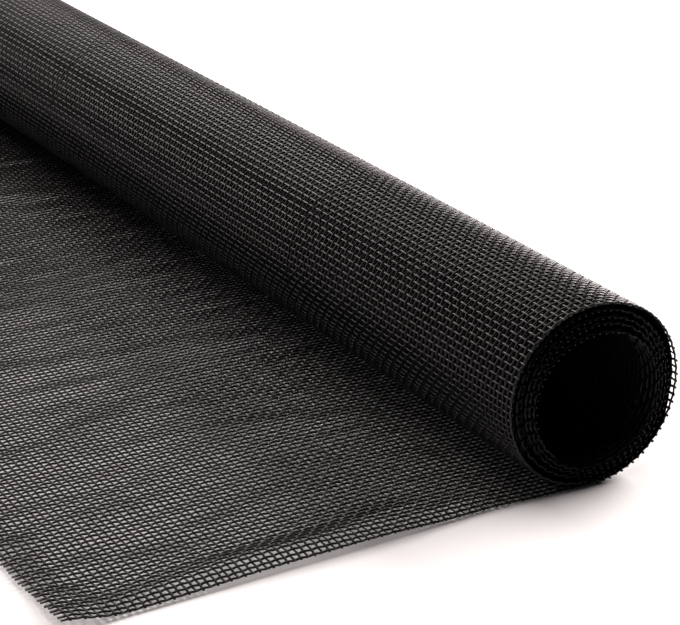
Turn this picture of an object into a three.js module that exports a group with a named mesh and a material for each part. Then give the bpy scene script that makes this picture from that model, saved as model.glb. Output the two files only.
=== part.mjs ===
// A roll of black coated mesh cloth lying on a flat surface. The cloth is one cut length: most of it is
// wound into a hollow roll with no core, and its outer end lies spread out flat beside the roll.
// Millimetres. +Z is up, the roll's axis runs along Y with its near end at -Y, and the spread end is at -X.
// The winding is followed in turns from the roll's underside: up the +X side, over the top and down the
// -X side, so that a whole number of turns is at the underside again, further in.
import * as THREE from 'three';

const { degToRad, smoothstep } = THREE.MathUtils;

// The cloth
const clothWidth = 610;
const clothThickness = 1;

// The wound roll: the outer turn's radius, and how far inside it each turn lies where it passes the
// bottom, the right, the top and the left. The turns are loose: the outer one bulges to the right, the
// second leans to the left, and the last, with nothing inside it, hangs away at the top of the hollow.
const rollRadius = 33.4;
const outerBulge = 1.6;
const turns = 4.9;
const turnDepths = [
  { bottom: 0, right: -outerBulge, top: 1, left: 0.8 },
  { bottom: 1.4, right: 2.6, top: 3.2, left: 3.1 },
  { bottom: 4.2, right: 4.4, top: 5.7, left: 6.1 },
  { bottom: 5.8, right: 6.1, top: 7.6, left: 7.4 },
  { bottom: 7.2, right: 7.6, top: 10.4, left: 8.8 },
];
// The inner turns have crept out of the near end
const innerTurnsProud = 2;
const creepFrom = 2;
const creepTo = 9;
// The roll's weight flattens its underside by this much
const flattening = 0.4;

// The spread end: from the roll's axis to the cut edge, and to where the roll's own solid takes over
const spreadReach = 194.5;
const joinReach = 6.6;
const joinGap = 0.3;
// Clear of the roll it is pulled slightly askew: from this far out, it comes nearer by so much for each
// unit away from the axis
const skewFrom = 40;
const spreadSkew = 0.05;

// Facets: points round a turn, and panes of the spread end across and along
const turnSteps = 90;
const panesAcross = 24;
const panesAlong = 42;
// Panes are shorter towards the near edge, where the cloth lifts most
const paneCrowding = 1.5;

// Where the spread cloth stands off the surface: the middle of each swell, measured across from the cut
// edge and along from the near edge, its half sizes, the turn of its ridge in degrees, and its height
const swells = [
  { across: 0, along: 0, halfAcross: 13, halfAlong: 26, turn: 0, height: 3.2 },
  { across: 84, along: 0, halfAcross: 62, halfAlong: 11, turn: 0, height: 0.7 },
  { across: 84, along: 10, halfAcross: 56, halfAlong: 9.5, turn: 0, height: 2.4 },
  { across: 6, along: 55, halfAcross: 9, halfAlong: 50, turn: 0, height: 0.8 },
  { across: 48, along: 66, halfAcross: 42, halfAlong: 13, turn: 18, height: 0.6 },
  { across: 118, along: 92, halfAcross: 44, halfAlong: 18, turn: -14, height: 0.7 },
  { across: 66, along: 128, halfAcross: 38, halfAlong: 15, turn: 32, height: 0.6 },
  { across: 132, along: 168, halfAcross: 40, halfAlong: 20, turn: 24, height: 0.7 },
  { across: 40, along: 205, halfAcross: 46, halfAlong: 20, turn: -20, height: 0.7 },
  { across: 112, along: 262, halfAcross: 50, halfAlong: 26, turn: 16, height: 0.8 },
  { across: 46, along: 330, halfAcross: 44, halfAlong: 26, turn: 28, height: 0.8 },
  { across: 122, along: 392, halfAcross: 46, halfAlong: 28, turn: -12, height: 0.9 },
  { across: 50, along: 462, halfAcross: 48, halfAlong: 26, turn: 20, height: 0.8 },
  { across: 118, along: 540, halfAcross: 50, halfAlong: 26, turn: 10, height: 0.9 },
  { across: 24, along: 610, halfAcross: 42, halfAlong: 24, turn: 0, height: 1.6 },
];
// Swells lower than this lie flat, so that the cloth between them rests on the surface
const swellFoot = 0.1;

// The box round the whole part is centred on the origin
const axisX = (spreadReach - rollRadius - outerBulge) / 2;
const axisZ = rollRadius - flattening;
const nearEnd = (spreadSkew * (spreadReach - skewFrom) - clothWidth) / 2;

const clothLook = { color: 0x1c1a1b, roughness: 0.42, metalness: 0 };

// How far the cloth's outer face has come in from the roll's radius, as a smooth curve through the
// depths at each quarter turn
function depthAt(turned) {
  const depths = turnDepths.flatMap((turn) => [turn.bottom, turn.right, turn.top, turn.left]);
  const quarter = Math.floor(turned * 4);
  const past = turned * 4 - quarter;
  const [before, from, to, after] = [-1, 0, 1, 2].map(
    (step) => depths[Math.min(Math.max(quarter + step, 0), depths.length - 1)],
  );
  const bend = 2 * before - 5 * from + 4 * to - after;
  const twist = 3 * (from - to) + after - before;
  return from + (past * (to - before + past * (bend + past * twist))) / 2;
}

// One turn of the cloth as points (x, z), on its outer face or, inset by the thickness, on its inner face
function turnOutline(firstTurned, inset) {
  const points = [];
  for (let step = 0; step <= turnSteps; step += 1) {
    const turned = firstTurned + step / turnSteps;
    const angle = 2 * Math.PI * turned;
    const radius = rollRadius - depthAt(turned) - inset;
    const z = axisZ - radius * Math.cos(angle);
    points.push(new THREE.Vector2(axisX + radius * Math.sin(angle), turned < 0 ? 0 : Math.max(z, 0)));
  }
  return points;
}

// The roll: the outer face of the first turn, the hollow inside the last turn, and one full width of cloth
function woundRoll() {
  const joinTurned = -Math.asin(joinReach / rollRadius) / (2 * Math.PI);
  const section = new THREE.Shape(turnOutline(joinTurned, 0));
  section.holes.push(new THREE.Path(turnOutline(turns - 1, clothThickness)));
  const roll = new THREE.ExtrudeGeometry(section, { depth: clothWidth, bevelEnabled: false });
  roll.rotateX(Math.PI / 2);
  roll.translate(0, nearEnd + clothWidth, 0);
  const place = roll.getAttribute('position');
  for (let i = 0; i < place.count; i += 1) {
    const inwards = rollRadius - Math.hypot(place.getX(i) - axisX, place.getZ(i) - axisZ);
    place.setY(i, place.getY(i) - innerTurnsProud * smoothstep(inwards, creepFrom, creepTo));
  }
  return roll;
}

// How far the spread cloth's underside stands off the surface
function liftAt(across, along) {
  let lift = 0;
  for (const swell of swells) {
    const turn = degToRad(swell.turn);
    const right = across - swell.across;
    const back = along - swell.along;
    const onRidge = (right * Math.cos(turn) + back * Math.sin(turn)) / swell.halfAcross;
    const offRidge = (back * Math.cos(turn) - right * Math.sin(turn)) / swell.halfAlong;
    lift += swell.height * Math.exp(-(onRidge ** 2) - offRidge ** 2);
  }
  return Math.max(lift - swellFoot, 0);
}

// The spread end: an even sheet in small panes, each corner of which stands as high as the cloth does
function looseEnd() {
  const spreadWidth = spreadReach - joinReach - joinGap;
  const sheet = new THREE.BoxGeometry(
    spreadWidth, 1, clothThickness, panesAcross, panesAlong, 1,
  );
  const place = sheet.getAttribute('position');
  for (let i = 0; i < place.count; i += 1) {
    const across = place.getX(i) + spreadWidth / 2;
    const along = clothWidth * Math.max(place.getY(i) + 0.5, 0) ** paneCrowding;
    // The cloth comes down flat before it runs under the roll
    const clearOfRoll = 1 - smoothstep(across, spreadWidth - 32, spreadWidth - 4);
    const lift = liftAt(across, along) * clearOfRoll;
    const underside = place.getZ(i) + clothThickness / 2;
    const pulled = spreadSkew * Math.max(spreadReach - skewFrom - across, 0);
    place.setXYZ(i, axisX - spreadReach + across, nearEnd + along - pulled, underside + lift);
  }
  return sheet;
}

function clothMesh(name, geometry) {
  const mesh = new THREE.Mesh(geometry, new THREE.MeshStandardMaterial(clothLook));
  mesh.name = name;
  return mesh;
}

const meshRoll = new THREE.Group();
meshRoll.add(clothMesh('wound_roll', woundRoll()));
meshRoll.add(clothMesh('loose_end', looseEnd()));

export default meshRoll;
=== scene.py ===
import math

import bpy
import numpy as np
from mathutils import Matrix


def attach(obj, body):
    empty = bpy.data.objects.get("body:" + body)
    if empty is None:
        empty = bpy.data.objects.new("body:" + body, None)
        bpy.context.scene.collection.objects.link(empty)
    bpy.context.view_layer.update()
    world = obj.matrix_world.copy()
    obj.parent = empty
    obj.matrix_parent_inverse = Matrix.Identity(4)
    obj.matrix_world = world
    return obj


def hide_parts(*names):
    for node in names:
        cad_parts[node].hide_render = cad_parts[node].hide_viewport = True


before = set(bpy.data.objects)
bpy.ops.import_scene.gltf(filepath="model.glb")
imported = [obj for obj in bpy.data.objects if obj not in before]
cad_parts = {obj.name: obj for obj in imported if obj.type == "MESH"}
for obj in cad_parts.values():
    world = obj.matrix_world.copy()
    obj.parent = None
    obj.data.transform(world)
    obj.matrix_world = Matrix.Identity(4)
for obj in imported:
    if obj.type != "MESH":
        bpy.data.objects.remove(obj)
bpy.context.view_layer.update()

# The camera stands in front of the roll's near end, to the left of it and a little above,
# and looks down across the spread cloth with a long lens.
camera_data = bpy.data.cameras.new("camera")
camera_data.sensor_width = 36.0
camera_data.lens = 124.8
camera_data.clip_start = 0.05
camera_data.clip_end = 50.0
camera = bpy.data.objects.new("camera", camera_data)
camera.location = (-0.34505, -0.8815, 0.3415)
camera.rotation_euler = (math.radians(90 - 21.34), 0.0, math.radians(-29.52))
bpy.context.collection.objects.link(camera)
bpy.context.scene.camera = camera


# The spread end of the cloth: polyester yarn coated with black vinyl, woven one over, one under,
# and heated so that the coating grips where two threads cross. It is cut raw on every side, and
# it lies on the surface with low waves left from its winding.
MM = 0.001
row_pitch = 2.55 * MM
column_pitch = 2.5 * MM
# The width and depth of a thread: those along the cloth's length are nearly round, and those
# across it are pressed flatter. At a crossing each stands so far off the cloth's middle.
long_thread = (1.16 * MM, 0.88 * MM)
cross_thread = (1.0 * MM, 0.54 * MM)
weave_rise = 0.12 * MM
# How many pitches the first crossing lies from the cut edge, and from either long edge
cut_margin = 1.2
side_margin = 0.5
cloth_width = 610 * MM
half_cloth = 0.5 * MM

roll_radius = 33.4 * MM
outer_bulge = 1.6 * MM
flattening = 0.4 * MM
spread_reach = 194.5 * MM
skew_from = 40 * MM
spread_skew = 0.05
axis_x = (spread_reach - roll_radius - outer_bulge) / 2
axis_z = roll_radius - flattening
near_end = (spread_skew * (spread_reach - skew_from) - cloth_width) / 2

# How far inside the roll's radius each turn lies where it passes the bottom, the right, the top
# and the left, in millimetres
turns = 4.9
turn_depths = (
    dict(bottom=0.0, right=-1.6, top=1.0, left=0.8),
    dict(bottom=1.4, right=2.6, top=3.2, left=3.1),
    dict(bottom=4.2, right=4.4, top=5.7, left=6.1),
    dict(bottom=5.8, right=6.1, top=7.6, left=7.4),
    dict(bottom=7.2, right=7.6, top=10.4, left=8.8),
)
creep_per_turn = 0.5 * MM

# The middle of each swell, across from the cut edge and along from the near edge, its half
# sizes, all in millimetres, the turn of its ridge in degrees, and its height
swells = (
    dict(across=0, along=0, half_across=13, half_along=26, turn=0, height=3.2),
    dict(across=84, along=0, half_across=62, half_along=11, turn=0, height=0.7),
    dict(across=84, along=10, half_across=56, half_along=9.5, turn=0, height=2.4),
    dict(across=6, along=55, half_across=9, half_along=50, turn=0, height=0.8),
    dict(across=48, along=66, half_across=42, half_along=13, turn=18, height=0.6),
    dict(across=118, along=92, half_across=44, half_along=18, turn=-14, height=0.7),
    dict(across=66, along=128, half_across=38, half_along=15, turn=32, height=0.6),
    dict(across=132, along=168, half_across=40, half_along=20, turn=24, height=0.7),
    dict(across=40, along=205, half_across=46, half_along=20, turn=-20, height=0.7),
    dict(across=112, along=262, half_across=50, half_along=26, turn=16, height=0.8),
    dict(across=46, along=330, half_across=44, half_along=26, turn=28, height=0.8),
    dict(across=122, along=392, half_across=46, half_along=28, turn=-12, height=0.9),
    dict(across=50, along=462, half_across=48, half_along=26, turn=20, height=0.8),
    dict(across=118, along=540, half_across=50, half_along=26, turn=10, height=0.9),
    dict(across=24, along=610, half_across=42, half_along=24, turn=0, height=1.6),
)

# The lowest places of the spread cloth lie this far off the surface. A swell lower than its foot
# lies flat, and the cloth comes down before it runs under the roll.
bedding = 0.25 * MM
swell_foot = 0.1 * MM
down_from = spread_reach - 39 * MM
down_to = spread_reach - 11 * MM

# Seeded, so that each run weaves the same cloth
wander = np.random.default_rng(11)


def waves(count, low, high, size):
    """Waves at random slants: how fast each turns along two directions, its start and its size."""
    across = 2 * np.pi / wander.uniform(low[0], high[0], count) * wander.choice((-1, 1), count)
    along = 2 * np.pi / wander.uniform(low[1], high[1], count)
    start = wander.uniform(0, 2 * np.pi, count)
    return across, along, start, size * wander.uniform(0.5, 1.0, count)


def swept(shapes, across, along):
    """How high all the waves stand together at a place."""
    return sum(size * np.sin(a * across + b * along + start) for a, b, start, size in zip(*shapes))


# Ripples too low to see as folds, but enough to close or open the holes to a low line of sight
ripples = waves(12, (40 * MM, 9 * MM), (150 * MM, 30 * MM), 0.06 * MM)


def eased(x, start, end):
    """From 0 before start to 1 after end, with no corner."""
    t = np.clip((x - start) / (end - start), 0.0, 1.0)
    return t * t * (3.0 - 2.0 * t)


def lift(across, along):
    """How far the spread cloth stands off the surface."""
    height = np.zeros(np.broadcast(across, along).shape)
    for s in swells:
        turn = math.radians(s["turn"])
        right = across / MM - s["across"]
        back = along / MM - s["along"]
        on = (right * math.cos(turn) + back * math.sin(turn)) / s["half_across"]
        off = (back * math.cos(turn) - right * math.sin(turn)) / s["half_along"]
        height += s["height"] * MM * np.exp(-(on**2) - off**2)
    clear_of_roll = 1.0 - eased(across, down_from, down_to)
    height = np.maximum(height - swell_foot, 0.0)
    return np.maximum(height + bedding + swept(ripples, across, along), 0.0) * clear_of_roll


def depth_at(turned):
    """How far inside the roll's radius the cloth's outer face is, smoothly through the table."""
    depths = np.array([d for turn in turn_depths for d in turn.values()]) * MM
    quarter = np.floor(turned * 4).astype(int)
    past = turned * 4 - quarter
    before, start, end, after = (
        depths[np.clip(quarter + step, 0, len(depths) - 1)] for step in (-1, 0, 1, 2)
    )
    bend = 2 * before - 5 * start + 4 * end - after
    twist = 3 * (start - end) + after - before
    return start + past * (end - before + past * (bend + past * twist)) / 2


winding_steps = 9000


def winding():
    """The cloth's middle round the roll: its length so far, place across and up, and turns."""
    turned = np.linspace(0.0, turns, winding_steps)
    radius = roll_radius - half_cloth - depth_at(turned)
    angle = 2.0 * np.pi * turned
    x = axis_x + radius * np.sin(angle)
    z = np.maximum(axis_z - radius * np.cos(angle), half_cloth)
    length = spread_reach + np.concatenate(([0.0], np.cumsum(np.hypot(np.diff(x), np.diff(z)))))
    return length, x, z, turned


wound_length, wound_x, wound_z, wound_turns = winding()
cloth_length = wound_length[-1]


def cloth_place(u, v):
    """The cloth's middle surface at u along its length and v across its width."""
    u, v = np.broadcast_arrays(u, v)
    spread = u < spread_reach
    x = np.where(spread, axis_x - spread_reach + u, np.interp(u, wound_length, wound_x))
    z = np.where(spread, half_cloth + lift(u, v), np.interp(u, wound_length, wound_z))
    turned = np.interp(u, wound_length, wound_turns)
    y = near_end + v - creep_per_turn * np.maximum(turned - 1.0, 0.0)
    y = y - spread_skew * np.maximum(spread_reach - skew_from - u, 0.0)
    return np.stack((x, y, z), axis=-1)


def unit(a):
    return a / np.linalg.norm(a, axis=-1, keepdims=True)


def cloth_frame(u, v):
    """The place, the way along u, the way along v and the way off the cloth."""
    step = 0.05 * MM
    place = cloth_place(u, v)
    along_u = unit(cloth_place(u + step, v) - cloth_place(u - step, v))
    along_v = unit(cloth_place(u, v + step) - cloth_place(u, v - step))
    return place, along_u, along_v, unit(np.cross(along_u, along_v))


# Each thread lies a little off its even place, and drifts along its run: over so many threads,
# over so much of its length, and by how much. There are more slips than the cloth has threads.
most_columns = 600
most_rows = 400
slip = 0.06 * MM
drift = (6, (5, 60 * MM), (16, 220 * MM), 0.045 * MM)
column_slip = wander.normal(0.0, slip, most_columns)
row_slip = wander.normal(0.0, slip, most_rows)
column_drift = waves(*drift)
row_drift = waves(*drift)


def column_u(i, v):
    """Where thread i across the length lies."""
    return (i + cut_margin) * column_pitch + column_slip[i] + swept(column_drift, i, v)


def row_v(j, u):
    """Where thread j along the length lies."""
    return (j + side_margin) * row_pitch + row_slip[j] + swept(row_drift, j, u)


sides = 4
round_thread = 2.0 * np.pi * np.arange(sides) / sides


def thread_rings(place, sideways, off, width, depth):
    """A ring of points round each place: place has shape (threads, rings, 3)."""
    side = np.cos(round_thread)[:, None] * sideways[..., None, :] * width / 2
    up = np.sin(round_thread)[:, None] * off[..., None, :] * depth / 2
    return place[..., None, :] + side + up


def thread_faces(threads, rings, first):
    """Quads along each thread, a cap on both ends, and each corner's place on the map."""
    ring = np.arange(threads * rings).reshape(threads, rings)
    near = ring[:, :-1, None] * sides
    far = ring[:, 1:, None] * sides
    here = np.arange(sides)
    after = (here + 1) % sides
    walls = np.stack((near + here, far + here, far + after, near + after), axis=-1)
    start = ring[:, :1] * sides + here[::-1]
    end = ring[:, -1:] * sides + here
    thread = np.arange(threads)[:, None, None, None]
    along = np.arange(rings - 1)[None, :, None, None] + np.array([0, 1, 1, 0])
    round_it = here[None, None, :, None] + np.array([0, 0, 1, 1])
    u = (along + 0 * round_it + 0 * thread) / (rings - 1)
    v = (thread + (round_it + 0 * along) / sides) / threads
    wall_map = np.stack((u, v), axis=-1).reshape(-1, 4, 2)
    cap_v = (np.arange(threads)[:, None] + np.array([0.1, 0.1, 0.9, 0.9])) / threads
    cap_u = np.array([0.0, 0.4, 0.4, 0.0]) / (rings - 1)
    start_map = np.stack((cap_u + 0 * cap_v, cap_v), axis=-1)
    end_map = np.stack((1.0 - cap_u + 0 * cap_v, cap_v), axis=-1)
    faces = np.concatenate((walls.reshape(-1, 4), start, end)) + first
    return faces, np.concatenate((wall_map, start_map, end_map))


# A thread drawn finely has two rings at each crossing, this many pitches either side of it
half_crown = 0.23


def crossing_stops(first, last, fine, start, end):
    """Places along a thread, in pitches of its crossings, with its two ends beyond them."""
    if fine:
        crossings = np.arange(first, last)
        middle = np.sort(np.concatenate((crossings - half_crown, crossings + half_crown)))
        rise = np.repeat(np.arange(first, last), 2)
    else:
        middle = np.arange(first, last).astype(float)
        rise = np.arange(first, last)
    stops = np.concatenate(([start], middle, [end]))
    return stops, np.concatenate(([rise[0]], rise, [rise[-1]]))


# The shortest thread end, as a share of the longest, and more ends than any side has
shortest_end = 0.8
most_ends = 700


def woven(name, columns, rows, fine, open_sides="", spike=0.3):
    """A patch of the weave as one mesh, between two columns and two rows of crossings. Its
    threads stand out of the sides named in open_sides, and elsewhere meet the next patch: spike
    is how far past the last crossing they end at the cloth's two long edges, in pitches."""
    first_column, last_column = columns
    first_row, last_row = rows
    column_ids = np.arange(first_column, last_column)
    row_ids = np.arange(first_row, last_row)
    ends = wander.uniform(shortest_end, 1.0, (4, most_ends))

    # Threads that run along the cloth's length
    start = first_column - (cut_margin if "cut" in open_sides else 0.5)
    end = last_column - 1 + (cut_margin if "inner" in open_sides else 0.5)
    stops, lobes = crossing_stops(first_column, last_column, fine, start, end)
    at = np.broadcast_to(stops, (len(row_ids), len(stops))).copy()
    if "cut" in open_sides:
        at[:, 0] = first_column - cut_margin * ends[0, : len(row_ids)]
    if "inner" in open_sides:
        at[:, -1] = last_column - 1 + cut_margin * ends[1, : len(row_ids)]
    u = (at + cut_margin) * column_pitch + np.interp(at, np.arange(most_columns), column_slip)
    v = row_v(row_ids[:, None], u)
    place, along_u, along_v, off = cloth_frame(u, v)
    over = np.where((lobes + row_ids[:, None]) % 2 == 0, 1.0, -1.0)
    if "cut" not in open_sides:
        over[:, 0] = 0.0
    if "inner" not in open_sides:
        over[:, -1] = 0.0
    place = place + off * (weave_rise * over)[..., None]
    lengthwise = thread_rings(place, along_v, off, *long_thread)

    # Threads that run across its width
    start = first_row - (spike if "near" in open_sides else 0.5)
    end = last_row - 1 + (spike if "far" in open_sides else 0.5)
    stops, lobes = crossing_stops(first_row, last_row, fine, start, end)
    at = np.broadcast_to(stops, (len(column_ids), len(stops))).copy()
    if "near" in open_sides:
        at[:, 0] = first_row - spike * ends[2, : len(column_ids)]
    if "far" in open_sides:
        at[:, -1] = last_row - 1 + spike * ends[3, : len(column_ids)]
    v = (at + side_margin) * row_pitch + np.interp(at, np.arange(most_rows), row_slip)
    u = column_u(column_ids[:, None], v)
    place, along_u, along_v, off = cloth_frame(u, v)
    over = np.where((lobes + column_ids[:, None]) % 2 == 0, -1.0, 1.0)
    if "near" not in open_sides:
        over[:, 0] = 0.0
    if "far" not in open_sides:
        over[:, -1] = 0.0
    place = place + off * (weave_rise * over)[..., None]
    crosswise = thread_rings(place, along_u, off, *cross_thread)

    first_faces, first_map = thread_faces(len(row_ids), lengthwise.shape[1], 0)
    points = lengthwise.reshape(-1, 3)
    second_faces, second_map = thread_faces(len(column_ids), crosswise.shape[1], len(points))
    points = np.concatenate((points, crosswise.reshape(-1, 3)))
    faces = np.concatenate((first_faces, second_faces))
    first_map[..., 1] *= 0.5
    second_map[..., 1] = 0.5 + 0.5 * second_map[..., 1]
    places = np.concatenate((first_map, second_map)).reshape(-1, 2)

    mesh = bpy.data.meshes.new(name)
    mesh.vertices.add(len(points))
    mesh.vertices.foreach_set("co", points.astype(np.float32).ravel())
    mesh.loops.add(faces.size)
    mesh.loops.foreach_set("vertex_index", faces.astype(np.int32).ravel())
    mesh.polygons.add(len(faces))
    mesh.polygons.foreach_set("loop_start", np.arange(0, faces.size, 4, dtype=np.int32))
    mesh.polygons.foreach_set("use_smooth", np.ones(len(faces), dtype=bool))
    mesh.uv_layers.new(name="OFBake")
    mesh.uv_layers["OFBake"].uv.foreach_set("vector", places.astype(np.float32).ravel())
    mesh.update(calc_edges=True)
    mesh.validate()
    piece = bpy.data.objects.new(name, mesh)
    bpy.context.collection.objects.link(piece)
    return piece


class Wire:
    """A shader socket that takes part in arithmetic, each step of which adds a node."""

    def __init__(self, tree, socket):
        self.tree, self.socket = tree, socket

    def made(self, kind, settings=None, **inputs):
        node = self.tree.nodes.new(kind)
        for key, value in (settings or {}).items():
            setattr(node, key, value)
        for key, value in inputs.items():
            socket = node.inputs[int(key[1:]) if key[1:].isdigit() else key.replace("_", " ")]
            if isinstance(value, Wire):
                self.tree.links.new(value.socket, socket)
            else:
                socket.default_value = value
        return node

    def step(self, operation, *values):
        inputs = {f"i{k}": value for k, value in enumerate(values)}
        node = self.made("ShaderNodeMath", {"operation": operation}, **inputs)
        return Wire(self.tree, node.outputs[0])

    def __add__(self, other):
        return self.step("ADD", self, other)

    def __mul__(self, other):
        return self.step("MULTIPLY", self, other)

    def __sub__(self, other):
        return self.step("SUBTRACT", self, other)

    def __rsub__(self, other):
        return self.step("SUBTRACT", other, self)

    def step_of(self, operation, *others):
        return self.step(operation, self, *others)

    __radd__ = __add__
    __rmul__ = __mul__


coating_black = (0.0035, 0.0032, 0.0032, 1.0)
coating_dusty = (0.0105, 0.0095, 0.0090, 1.0)


def coated_thread(name, gloss):
    """Black vinyl coating: a soft satin, rougher where its faint dust lies. A low gloss makes a
    dimmer copy of it, which stands for painted shade.
    """
    material = bpy.data.materials.new(name)
    material.use_nodes = True
    tree = material.node_tree
    shader = tree.nodes["Principled BSDF"]
    start = Wire(tree, None)
    place = Wire(tree, start.made("ShaderNodeTexCoord").outputs["Object"])
    broad = start.made("ShaderNodeTexNoise", Vector=place, Scale=38.0, Detail=3.0)
    fine = start.made("ShaderNodeTexNoise", Vector=place, Scale=900.0, Detail=2.0)
    broad = Wire(tree, broad.outputs["Fac"])
    fine = Wire(tree, fine.outputs["Fac"])
    dust = broad * 0.6 + fine * 0.4
    colour = start.made(
        "ShaderNodeMix",
        {"data_type": "RGBA"},
        Factor=dust,
        i6=coating_black,
        i7=coating_dusty,
    )
    tree.links.new(colour.outputs["Result"], shader.inputs["Base Color"])
    rough = 0.2 + dust * 0.22
    tree.links.new(rough.socket, shader.inputs["Roughness"])
    shader.inputs["Specular IOR Level"].default_value = gloss
    return material


# A copy of the coating with less specular than the outer turn's, for the spread cloth and the inner
# turns' ends: painted shade that makes them darker
shade_dimmed_thread = coated_thread("shade_dimmed_thread", 0.12)
# The nearest rows are drawn finely
near_rows = 60
all_rows = int(cloth_width / row_pitch)
spread_columns = round(spread_reach / column_pitch) - 1


def dress(piece, finish, stands_for, columns, rows):
    piece.data.materials.append(finish)
    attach(piece, "root")
    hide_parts(stands_for)
    flat = ((rows[1] - rows[0]) * row_pitch, (columns[1] - columns[0]) * column_pitch)


middle_row = (near_rows + all_rows) // 2
for name, rows, fine, open_sides in (
    ("spread_cloth_near", (0, near_rows), True, "cut near"),
    ("spread_cloth_middle", (near_rows, middle_row), False, "cut"),
    ("spread_cloth_far", (middle_row, all_rows), False, "cut far"),
):
    columns = (0, spread_columns)
    spread_cloth = woven(name, columns, rows, fine, open_sides)
    dress(spread_cloth, shade_dimmed_thread, "loose_end", columns, rows)


# The outer turn of the roll: the same cloth, carried under the roll and once round it. It has
# sprung a little away from the turns inside it, so that light passes through it along the rim.
def wound_at(turned):
    """How far along the cloth the roll has turned so much."""
    return float(np.interp(turned, wound_turns, wound_length))


def column_at(turned):
    return round(wound_at(turned) / column_pitch) - 1


satin_thread = coated_thread("satin_thread", 0.3)
rim_spike = 0.45
outer_columns = (spread_columns, column_at(1.0))
for name, rows, fine, open_sides in (
    ("outer_turn_near", (0, near_rows), True, "near"),
    ("outer_turn_middle", (near_rows, middle_row), False, ""),
    ("outer_turn_far", (middle_row, all_rows), False, "far"),
):
    outer_turn = woven(name, outer_columns, rows, fine, open_sides, rim_spike)
    dress(outer_turn, satin_thread, "wound_roll", outer_columns, rows)


# The turns inside it. Only their ends show, and the last turn's face inside the hollow, so each
# end is woven thread by thread, and the rest is a plain strip with the weave on it. The strip
# also lines the outer turn, so that no light passes where the turns behind it would stop it.
inner_columns = (outer_columns[1], round(cloth_length / column_pitch) - 2)
end_rows = 4
inner_spike = 0.75
for name, rows, fine, open_sides in (
    ("inner_turns_near", (0, end_rows), True, "near inner"),
    ("inner_turns_far", (all_rows - end_rows, all_rows), False, "far inner"),
):
    inner_turns = woven(name, inner_columns, rows, fine, open_sides, inner_spike)
    dress(inner_turns, shade_dimmed_thread, "wound_roll", inner_columns, rows)

strip_edge = 0.15
strip_stops = 9
strip_columns = (column_at(0.01), inner_columns[1])
strip_rows = (strip_edge, all_rows - strip_edge)
strip_u = (np.arange(*strip_columns) + cut_margin) * column_pitch
strip_v = np.linspace(*strip_rows, strip_stops) * row_pitch
# It stops a row short at the rim's right side, where the outer turn shows one row of clear holes
clear_half = 13 * MM
short_by = row_pitch * np.exp(-(((strip_u - wound_at(0.25)) / clear_half) ** 2))
strip_short = short_by[:, None] * np.linspace(1.0, 0.0, strip_stops)
strip_place, _, _, strip_off = cloth_frame(strip_u[:, None], strip_v[None, :] + strip_short)
# It lies inside the outer turn's threads, and moves to the middle of the cloth after one turn
inside_outer = 0.6 * MM * (1.0 - eased(strip_u, wound_at(0.95), wound_at(1.1)))
strip_place = strip_place + strip_off * inside_outer[:, None, None]
grid = np.arange(len(strip_u) * len(strip_v)).reshape(len(strip_u), len(strip_v))
strip_faces = np.stack((grid[:-1, :-1], grid[1:, :-1], grid[1:, 1:], grid[:-1, 1:]), axis=-1)
strip_mesh = bpy.data.meshes.new("inner_turns_middle")
strip_mesh.from_pydata(strip_place.reshape(-1, 3).tolist(), [], strip_faces.reshape(-1, 4).tolist())
strip_mesh.polygons.foreach_set("use_smooth", np.ones(len(strip_mesh.polygons), dtype=bool))
strip_mesh.uv_layers.new(name="OFBake")
across_map, along_map = np.meshgrid(
    np.linspace(0.0, 1.0, len(strip_u)), np.linspace(0.0, 1.0, len(strip_v)), indexing="ij"
)
strip_map = np.stack((across_map.ravel(), along_map.ravel()), axis=-1)[strip_faces.ravel()]
strip_mesh.uv_layers["OFBake"].uv.foreach_set("vector", strip_map.astype(np.float32).ravel())
strip = bpy.data.objects.new("inner_turns_middle", strip_mesh)
bpy.context.collection.objects.link(strip)


def painted_shade_weave():
    """The same black weave, drawn on the strip: threads with a soft satin, and dark holes. Holes
    and threads are both painted darker than the coating, as painted shade of the turns inside.
    """
    material = bpy.data.materials.new("painted_shade_weave")
    material.use_nodes = True
    tree = material.node_tree
    shader = tree.nodes["Principled BSDF"]
    start = Wire(tree, None)
    on_strip = start.made("ShaderNodeUVMap", {"uv_map": "OFBake"}).outputs["UV"]
    parts = start.made("ShaderNodeSeparateXYZ", Vector=Wire(tree, on_strip))
    columns = strip_columns[1] - strip_columns[0] - 1
    rows = strip_rows[1] - strip_rows[0]
    from_column = (Wire(tree, parts.outputs["X"]) * columns + 0.5).step_of("FRACT") - 0.5
    from_row = (Wire(tree, parts.outputs["Y"]) * rows).step_of("FRACT") - 0.5
    beside_column = from_column.step_of("ABSOLUTE") * (2 * column_pitch / cross_thread[0])
    beside_row = from_row.step_of("ABSOLUTE") * (2 * row_pitch / long_thread[0])
    nearest = beside_column.step_of("MINIMUM", beside_row)
    crown = (1 - nearest * nearest).step_of("MAXIMUM", 0.0)
    thread = (crown * 6).step_of("MINIMUM", 1.0)
    # Painted shade: near-black holes, and threads darker than the coating's own colour
    colour = start.made(
        "ShaderNodeMix",
        {"data_type": "RGBA"},
        Factor=thread,
        i6=(0.0005, 0.0005, 0.0005, 1.0),
        i7=(0.0030, 0.0028, 0.0028, 1.0),
    )
    tree.links.new(colour.outputs["Result"], shader.inputs["Base Color"])
    rough = 1 - thread * 0.55
    tree.links.new(rough.socket, shader.inputs["Roughness"])
    bump = start.made("ShaderNodeBump", Height=crown, Distance=0.0004, Strength=0.8)
    tree.links.new(bump.outputs["Normal"], shader.inputs["Normal"])
    shader.inputs["Specular IOR Level"].default_value = 0.12
    return material


dress(strip, painted_shade_weave(), "wound_roll", strip_columns, strip_rows)


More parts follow.
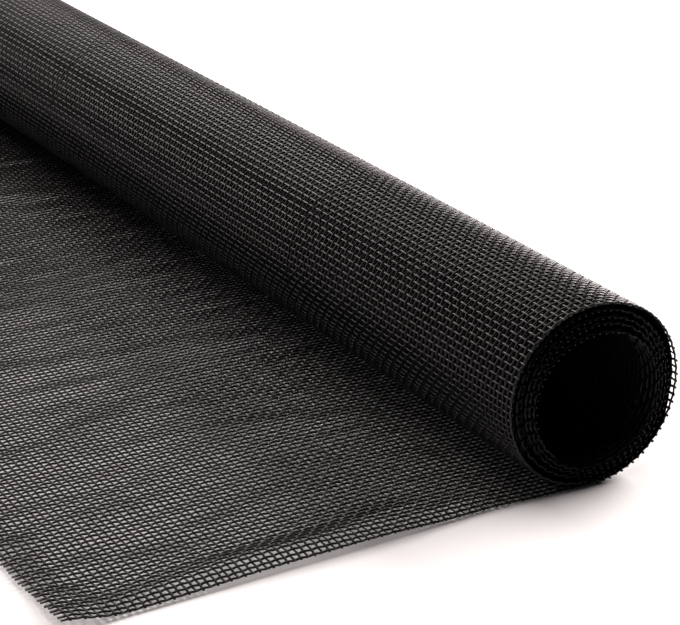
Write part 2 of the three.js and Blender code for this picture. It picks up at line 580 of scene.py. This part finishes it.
# The surface it lies on: smooth white board, far wider than the view, just under the cloth.
floor_mesh = bpy.data.meshes.new("floor")
reach = 20.0
floor_mesh.from_pydata(
    [(-reach, -reach, 0.0), (reach, -reach, 0.0), (reach, reach, 0.0), (-reach, reach, 0.0)],
    [],
    [(0, 1, 2, 3)],
)
floor = bpy.data.objects.new("floor", floor_mesh)
floor.location.z = -0.0002
bpy.context.collection.objects.link(floor)
board = bpy.data.materials.new("white_board")
board.use_nodes = True
board_shader = board.node_tree.nodes["Principled BSDF"]
board_shader.inputs["Base Color"].default_value = (0.86, 0.86, 0.86, 1)
board_shader.inputs["Roughness"].default_value = 0.8
# Far from the roll, past the reach of the lights, the board glows faintly so that it stays pale
start = Wire(board.node_tree, None)
board_place = Wire(board.node_tree, start.made("ShaderNodeTexCoord").outputs["Object"])
away = start.made("ShaderNodeVectorMath", {"operation": "LENGTH"}, i0=board_place)
glow_from, glow_rise, most_glow = 1.0, 0.5, 0.9
glow = (Wire(board.node_tree, away.outputs["Value"]) - glow_from) * glow_rise
glow = glow.step_of("MAXIMUM", 0.0).step_of("MINIMUM", most_glow)
board.node_tree.links.new(glow.socket, board_shader.inputs["Emission Color"])
board_shader.inputs["Emission Strength"].default_value = 1.0
board.cycles.emission_sampling = "NONE"
floor_mesh.materials.append(board)


# Soft studio light: wide lights overhead and behind, a small one behind to the left, and the
# strongest low on the right, which draws the threads of the roll and leaves its left side dark.
world = bpy.data.worlds.new("studio")
bpy.context.scene.world = world
world.use_nodes = True
world.node_tree.nodes["Background"].inputs["Color"].default_value = (1.0, 1.0, 1.0, 1.0)
world.node_tree.nodes["Background"].inputs["Strength"].default_value = 0.03


def soft_light(name, place, aim, size, power):
    light = bpy.data.lights.new(name, "AREA")
    light.shape = "RECTANGLE"
    light.size, light.size_y = size
    light.energy = power
    light.color = (1.0, 0.92, 0.9)
    lamp = bpy.data.objects.new(name, light)
    lamp.location = place
    way = np.array(aim) - np.array(place)
    pan = math.atan2(way[1], way[0])
    tilt = math.atan2(math.hypot(way[0], way[1]), -way[2])
    lamp.rotation_euler = (tilt, 0.0, pan - math.pi / 2)
    bpy.context.collection.objects.link(lamp)
    return lamp


soft_light("overhead", (0.0, 0.0, 1.8), (0.0, 0.0, 0.0), (1.4, 1.4), 15.0)
soft_light("high_behind", (0.0, 1.3, 1.9), (0.0, 0.0, 0.0), (1.8, 0.7), 13.0)
soft_light("behind", (0.2, 1.9, 1.3), (0.0, 0.0, 0.0), (1.8, 0.9), 38.0)
soft_light("behind_left", (-1.4, 1.5, 0.9), (0.0, 0.0, 0.0), (1.2, 0.9), 14.0)
soft_light("right", (1.9, 0.3, 1.0), (0.0, 0.0, 0.0), (1.2, 1.2), 108.0)

bpy.context.scene.view_settings.view_transform = "Standard"
bpy.context.scene.view_settings.look = "None"
